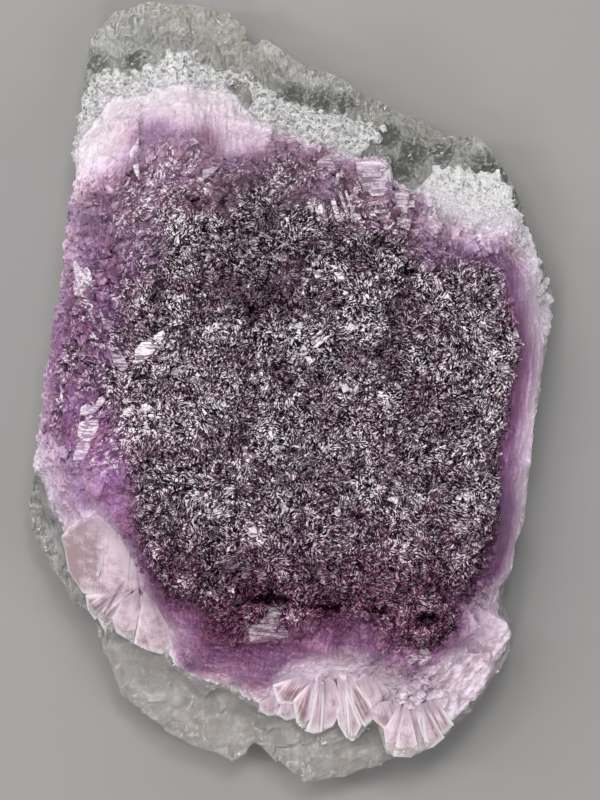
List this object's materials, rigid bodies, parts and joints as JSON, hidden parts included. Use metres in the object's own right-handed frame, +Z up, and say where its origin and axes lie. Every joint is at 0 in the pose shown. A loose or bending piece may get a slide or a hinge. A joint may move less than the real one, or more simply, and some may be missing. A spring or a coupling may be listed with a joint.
{
  "type": "bicolor fluorite specimen",
  "caption": "Broken plate of natural fluorite lying on its back: a clear lower layer under a purple crystal crust, dark and sugary on top and lilac on its slopes.",
  "frame": {"origin": "middle of the bounding box at the surface that the specimen rests on", "axes": "+Z up through the purple layer, +Y along the length towards the broad clear end, +X across the width"},
  "size_m": [0.0684, 0.1018, 0.0242],
  "materials": {
    "fluorite": "glassy crystal: near-black plum crystals on top, lilac on the slopes, colourless and see-through below"
  },
  "bodies": {
    "root": {"fluorite": "fluorite"}
  },
  "joints": []
}
